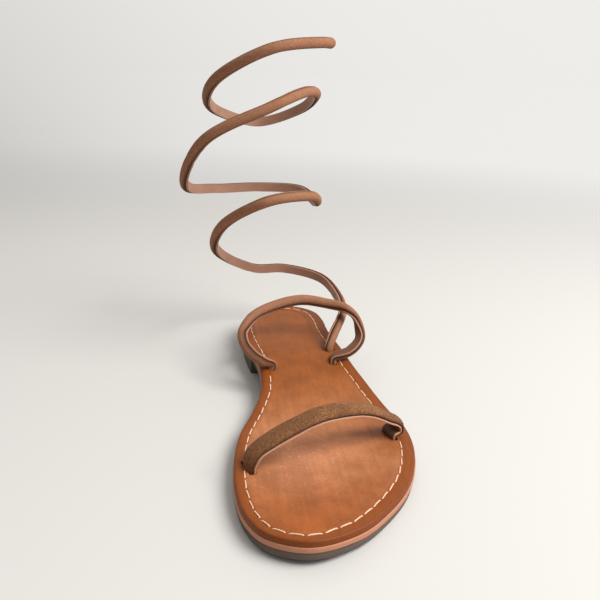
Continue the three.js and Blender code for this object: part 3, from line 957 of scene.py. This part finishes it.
def strap_pair(name, stations, size, suede, lining, lining_width, creases, sizes=1):
    """A strap's domed suede face and its flat lining. Size is the strap's width and thickness, and sizes are
    the shares of it at the stations."""
    travel = travel_along(stations[0])
    sizes = sizes * np.ones(len(travel))
    for share, reach, depth in creases:
        sizes -= depth * np.exp(-((travel - share * travel[-1]) / reach) ** 2)
    widths = size[0] * sizes
    depths = size[1] * stations[3] * sizes
    dome = smooth_curve(suede_section, 3, closed=True)
    face = sweep(name + "_suede", stations, dome, dome[:, 1], (widths, depths), suede)
    strip = np.array(lining_section(lining_width))
    under = sweep(name + "_lining", stations, strip, np.abs(strip[:, 0]), (widths, depths), lining)
    return face, under


stations = strap_stations(toe_strap_stops(), strap_steps)
# The other end goes straight down into its slot
stations[1][-1] = (0, 0, -1)
for piece in strap_pair(
    "toe_strap", stations, toe_strap_size, toe_suede, toe_lining, toe_lining_width, toe_strap_creases,
):
    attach(piece, "root")
    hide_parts("toe_strap")


# Ankle strap. A narrower strap of rosy brown suede over the same lining, domed over a wire core. It leaves
# the waist's inner slot, loops back over the instep and comes down to the outer slot.
ankle_loop_width = 80
ankle_loop_depth = 46
ankle_loop_height = 28
ankle_lining_width = 1.02
ankle_creases = [
    (0.09, 2, 0.05),
    (0.14, 2.5, -0.03),
    (0.25, 3, 0.03),
    (0.45, 4, -0.02),
    (0.6, 3, 0.03),
    (0.74, 2.5, 0.05),
    (0.79, 2.5, -0.02),
    (0.91, 2, 0.04),
]
# Each row: across, back and rise as shares of the loop, then the way that the suede face looks
ankle_rows = [
    (-0.3, -0.052, 0.158, -0.6, -0.6, -0.4),
    (-0.38, 0.067, 0.253, -0.55, -0.75, -0.3),
    (-0.43, 0.257, 0.353, -0.65, -0.75, -0.1),
    (-0.436, 0.477, 0.505, -0.7, -0.65, 0.15),
    (-0.352, 0.657, 0.73, -0.55, -0.65, 0.45),
    (-0.205, 0.807, 0.87, -0.35, -0.7, 0.6),
    (0.044, 0.937, 0.962, 0, -0.7, 0.7),
    (0.24, 0.912, 0.898, 0.25, -0.65, 0.7),
    (0.384, 0.807, 0.843, 0.5, -0.4, 0.7),
    (0.46, 0.677, 0.698, 0.85, 0, 0.45),
    (0.484, 0.542, 0.523, 0.9, 0.35, 0.1),
    (0.47, 0.347, 0.368, 0.8, 0.4, -0.4),
    (0.37, 0.157, 0.213, 0.6, 0.3, -0.75),
]
rosy_suede = "#946449"
rosy_suede_light = "#BB8B6F"
rosy_suede_dark = "#583629"
rosy_suede_olive = "#85592F"
rosy_bloom = "#CFA68C"
dull_rim = "#9A6A50"

# Finer brushed suede: a shorter nap, so smaller tufts and less bloom, with faint olive and rosy patches
leg_suede, tree, shader, place = new_material("rosy_brushed_suede")
tufts = add_node(tree, "ShaderNodeTexNoise", {
    "Vector": place, "Scale": per(0.7), "Detail": 5, "Roughness": 0.7,
}).outputs["Fac"]
napped = toned(tree, colour(rosy_suede_dark), tufts, 0.33, 0.67, rosy_suede_light)
patches = add_node(tree, "ShaderNodeTexNoise", {"Vector": place, "Scale": per(14), "Detail": 2})
patched = toned(tree, colour(rosy_suede), patches.outputs["Fac"], 0.45, 0.65, rosy_suede_olive, most=0.5)
mixed = add_node(tree, "ShaderNodeMix", {0: 0.3, 6: patched, 7: napped}, data_type="RGBA")
# Painted shade: darker down the section's flanks and into the crease over the lining
flank_shaded = toned(tree, mixed.outputs[2], strap_mark(tree), 0.42, -0.16, painted_flank_shade)
relief = add_node(tree, "ShaderNodeBump", {"Height": tufts, "Strength": 0.6, "Distance": 0.3 * MM})
dress(tree, shader, flank_shaded, relief, 0.95)
bloom(shader, 0.06, rosy_bloom)

# The lining face here is painted darker, as shade
ankle_lining = lining_leather("painted_shade_ankle_lining_leather", painted_shade_lining, painted_shade_lining_dark, dull_rim)


def ankle_stops():
    start = slot_centre("ankle_medial")
    end = slot_centre("ankle_lateral")
    floor = sole_rise(start[1]) + footbed_top
    stops = []
    for across, back, rise, *face in ankle_rows:
        x = (start[0] + end[0]) / 2 + across * ankle_loop_width
        y = start[1] + back * ankle_loop_depth
        stops.append(((x, y, floor + rise * ankle_loop_height), face, 1))
    medial = slot_stops("ankle_medial", leg_strap_width)
    lateral = slot_stops("ankle_lateral", leg_strap_width)[::-1]
    return [*medial, *stops, *lateral]


stations = strap_stations(ankle_stops(), strap_steps)
stations[1][-1] = (0, 0, -1)
for piece in strap_pair(
    "ankle_strap", stations, leg_strap_size, leg_suede, ankle_lining, ankle_lining_width, ankle_creases,
):
    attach(piece, "root")
    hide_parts("ankle_strap")


# Leg coil. The same strap again, with a springy wire core that keeps the three leaning turns in which it
# stands when nobody wears it. It leaves the outer slot behind the ankle strap, and its free end is rounded.
coil_radius = 44
coil_height = 179
coil_lean = 0.03
coil_steps = 24
coil_end_steps = 8
coil_lining_width = 0.96
coil_axis = (-0.275 * heel_width, y_at(0.108))
# The lining's own tan, without the painted shade of the toe and ankle straps
lining_own_tan = "#AD816A"
lining_own_tan_dark = "#8C624B"
coil_lining = lining_leather("coil_lining_leather", lining_own_tan, lining_own_tan_dark, dull_rim)
coil_creases = [
    (0.03, 2.5, 0.04),
    (0.08, 3, -0.03),
    (0.17, 2, 0.05),
    (0.23, 3, 0.03),
    (0.245, 2, 0.04),
    (0.31, 4, -0.03),
    (0.375, 2, 0.06),
    (0.39, 2.5, -0.03),
    (0.46, 4, 0.03),
    (0.53, 3, -0.03),
    (0.575, 2, 0.06),
    (0.59, 2, -0.04),
    (0.66, 3, 0.04),
    (0.72, 2.5, 0.05),
    (0.735, 2.5, -0.03),
    (0.8, 4, 0.02),
    (0.86, 2.5, 0.05),
    (0.95, 3, 0.03),
]
# Each row: turns, counter-clockwise from the lateral side, then shares of the radius and of the height
coil_rows = [
    (-0.13, 1.45, 0.04),
    (-0.07, 1.33, 0.075),
    (0, 1.24, 0.09),
    (0.08, 1.19, 0.12),
    (0.17, 0.97, 0.138),
    (0.25, 0.81, 0.14),
    (0.375, 0.7, 0.205),
    (0.5, 0.7, 0.285),
    (0.625, 0.81, 0.4),
    (0.75, 1.06, 0.505),
    (0.875, 0.9, 0.505),
    (1, 0.82, 0.455),
    (1.125, 0.89, 0.47),
    (1.25, 0.88, 0.465),
    (1.375, 0.96, 0.465),
    (1.5, 1.12, 0.505),
    (1.625, 1.19, 0.69),
    (1.75, 1, 0.8),
    (1.875, 0.75, 0.845),
    (2, 0.75, 0.83),
    (2.125, 0.87, 0.77),
    (2.25, 0.97, 0.71),
    (2.375, 0.89, 0.75),
    (2.5, 0.81, 0.805),
    (2.625, 0.93, 0.885),
    (2.75, 1.04, 0.975),
    (2.875, 0.96, 1),
    (2.91, 0.98, 1),
]


def coil_stops():
    floor = sole_rise(slot_centre("coil")[1]) + footbed_top
    stops = []
    for turn, reach, rise in coil_rows:
        angle = 2 * math.pi * turn
        height = floor + rise * coil_height
        x = coil_axis[0] + reach * coil_radius * math.cos(angle)
        y = coil_axis[1] + reach * coil_radius * math.sin(angle) + coil_lean * height
        stops.append(((x, y, height), (math.cos(angle), math.sin(angle), 0), 1))
    return [*slot_stops("coil", leg_strap_width), *stops]


def rounded_end(stations, width):
    """Adds a half round end to a strap, just short of a point, and gives the share of its size at each
    station."""
    path, ahead, out, skive = stations
    angle = np.linspace(0, 0.49 * math.pi, coil_end_steps + 1)[1:]
    tip = path[-1] + ahead[-1] * (np.sin(angle) * width / 2)[:, None]
    more = [np.repeat(row[-1:], coil_end_steps, 0) for row in (ahead, out, skive)]
    grown = [np.concatenate([old, new]) for old, new in zip((path, ahead, out, skive), (tip, *more))]
    return grown, np.concatenate([np.ones(len(path)), np.cos(angle)])


stations, sizes = rounded_end(strap_stations(coil_stops(), coil_steps), leg_strap_width)
for piece in strap_pair(
    "leg_coil", stations, leg_strap_size, leg_suede, coil_lining, coil_lining_width, coil_creases, sizes,
):
    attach(piece, "root")
    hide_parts("leg_coil")


# Studio. A pale floor that fades into the pale surroundings, which are brighter behind the sandal and to its
# right, and a large soft light from above on the right. The camera stands where the photo's camera stood,
# and is turned so that the sandal fills the frame.
floor_reach = 6
floor_fade_start = 0.25
floor_fade_end = 1.1
floor_pale = "#C6C4C0"
studio_pale = "#FAF8F5"
studio_dim = 0.26
studio_bright = 0.9
bright_side = (0.55, 0.45, 0.55)
facing_dim = -0.5
facing_bright = 0.7
key_place = (0.65, -0.45, 0.95)
key_size = 0.8
key_power = 17
# The camera's place is in millimetres, what stands before it here in metres, and focal lengths and places in
# the picture in pixels
camera_place = (-52.8, -437.3, 190.9)
photo_pitch = 18.3
photo_focal = 485
image_middle = 300
framed_middle = (367, 313)
render_focal = 690
image_pixels = 600
sensor_width = 36


def surroundings(tree, direction):
    """How bright the surroundings are in a direction."""
    ahead = add_node(tree, "ShaderNodeVectorMath", {0: direction}, operation="NORMALIZE")
    facing = add_node(tree, "ShaderNodeVectorMath", {
        0: ahead.outputs[0], 1: bright_side,
    }, operation="DOT_PRODUCT")
    return add_node(tree, "ShaderNodeMapRange", {
        "Value": facing.outputs["Value"],
        "From Min": facing_dim,
        "From Max": facing_bright,
        "To Min": studio_dim,
        "To Max": studio_bright,
    }, interpolation_type="SMOOTHSTEP").outputs[0]


# Matt pale floor paint near the sandal, and the surroundings' own light farther out
floor_paint, tree, shader, place = new_material("pale_floor_paint")
distance = add_node(tree, "ShaderNodeVectorMath", {0: place}, operation="LENGTH")
fade = add_node(tree, "ShaderNodeMapRange", {
    "Value": distance.outputs["Value"], "From Min": floor_fade_start, "From Max": floor_fade_end,
}, interpolation_type="SMOOTHSTEP")
glow = add_node(tree, "ShaderNodeEmission", {
    "Color": colour(studio_pale), "Strength": surroundings(tree, place),
})
blend = add_node(tree, "ShaderNodeMixShader", {0: fade.outputs[0], 1: shader.outputs[0], 2: glow.outputs[0]})
surface = next(node for node in tree.nodes if node.type == "OUTPUT_MATERIAL")
tree.links.new(blend.outputs[0], surface.inputs["Surface"])
shader.inputs["Base Color"].default_value = colour(floor_pale)
shader.inputs["Roughness"].default_value = 0.9
corner = floor_reach / MM
floor_points = [(-corner, -corner, 0), (corner, -corner, 0), (corner, corner, 0), (-corner, corner, 0)]
floor = new_piece("studio_floor", floor_points, [(0, 1, 2, 3)], floor_paint)

world = bpy.data.worlds.new("studio_light")
world.use_nodes = True
bpy.context.scene.world = world
sky = world.node_tree
outlook = add_node(sky, "ShaderNodeTexCoord").outputs["Generated"]
background = sky.nodes["Background"]
background.inputs["Color"].default_value = colour(studio_pale)
sky.links.new(surroundings(sky, outlook), background.inputs["Strength"])

key_data = bpy.data.lights.new("key_light", "AREA")
key_data.shape = "DISK"
key_data.size = key_size
key_data.energy = key_power
key = bpy.data.objects.new("key_light", key_data)
key.location = key_place
key.rotation_euler = (-key.location).to_track_quat("-Z", "Y").to_euler()
bpy.context.scene.collection.objects.link(key)

camera_data = bpy.data.cameras.new("camera")
camera_data.sensor_width = sensor_width
camera_data.lens = render_focal / image_pixels * sensor_width
camera = bpy.data.objects.new("camera", camera_data)
camera.location = [value * MM for value in camera_place]
right, down = ((pixel - image_middle) / photo_focal for pixel in framed_middle)
turn = Vector((0, 0, -1)).rotation_difference(Vector((right, -down, -1)))
camera.rotation_mode = "QUATERNION"
camera.rotation_quaternion = Euler((math.radians(90 - photo_pitch), 0, 0)).to_quaternion() @ turn
bpy.context.scene.collection.objects.link(camera)
bpy.context.scene.camera = camera
bpy.context.scene.view_settings.view_transform = "Standard"
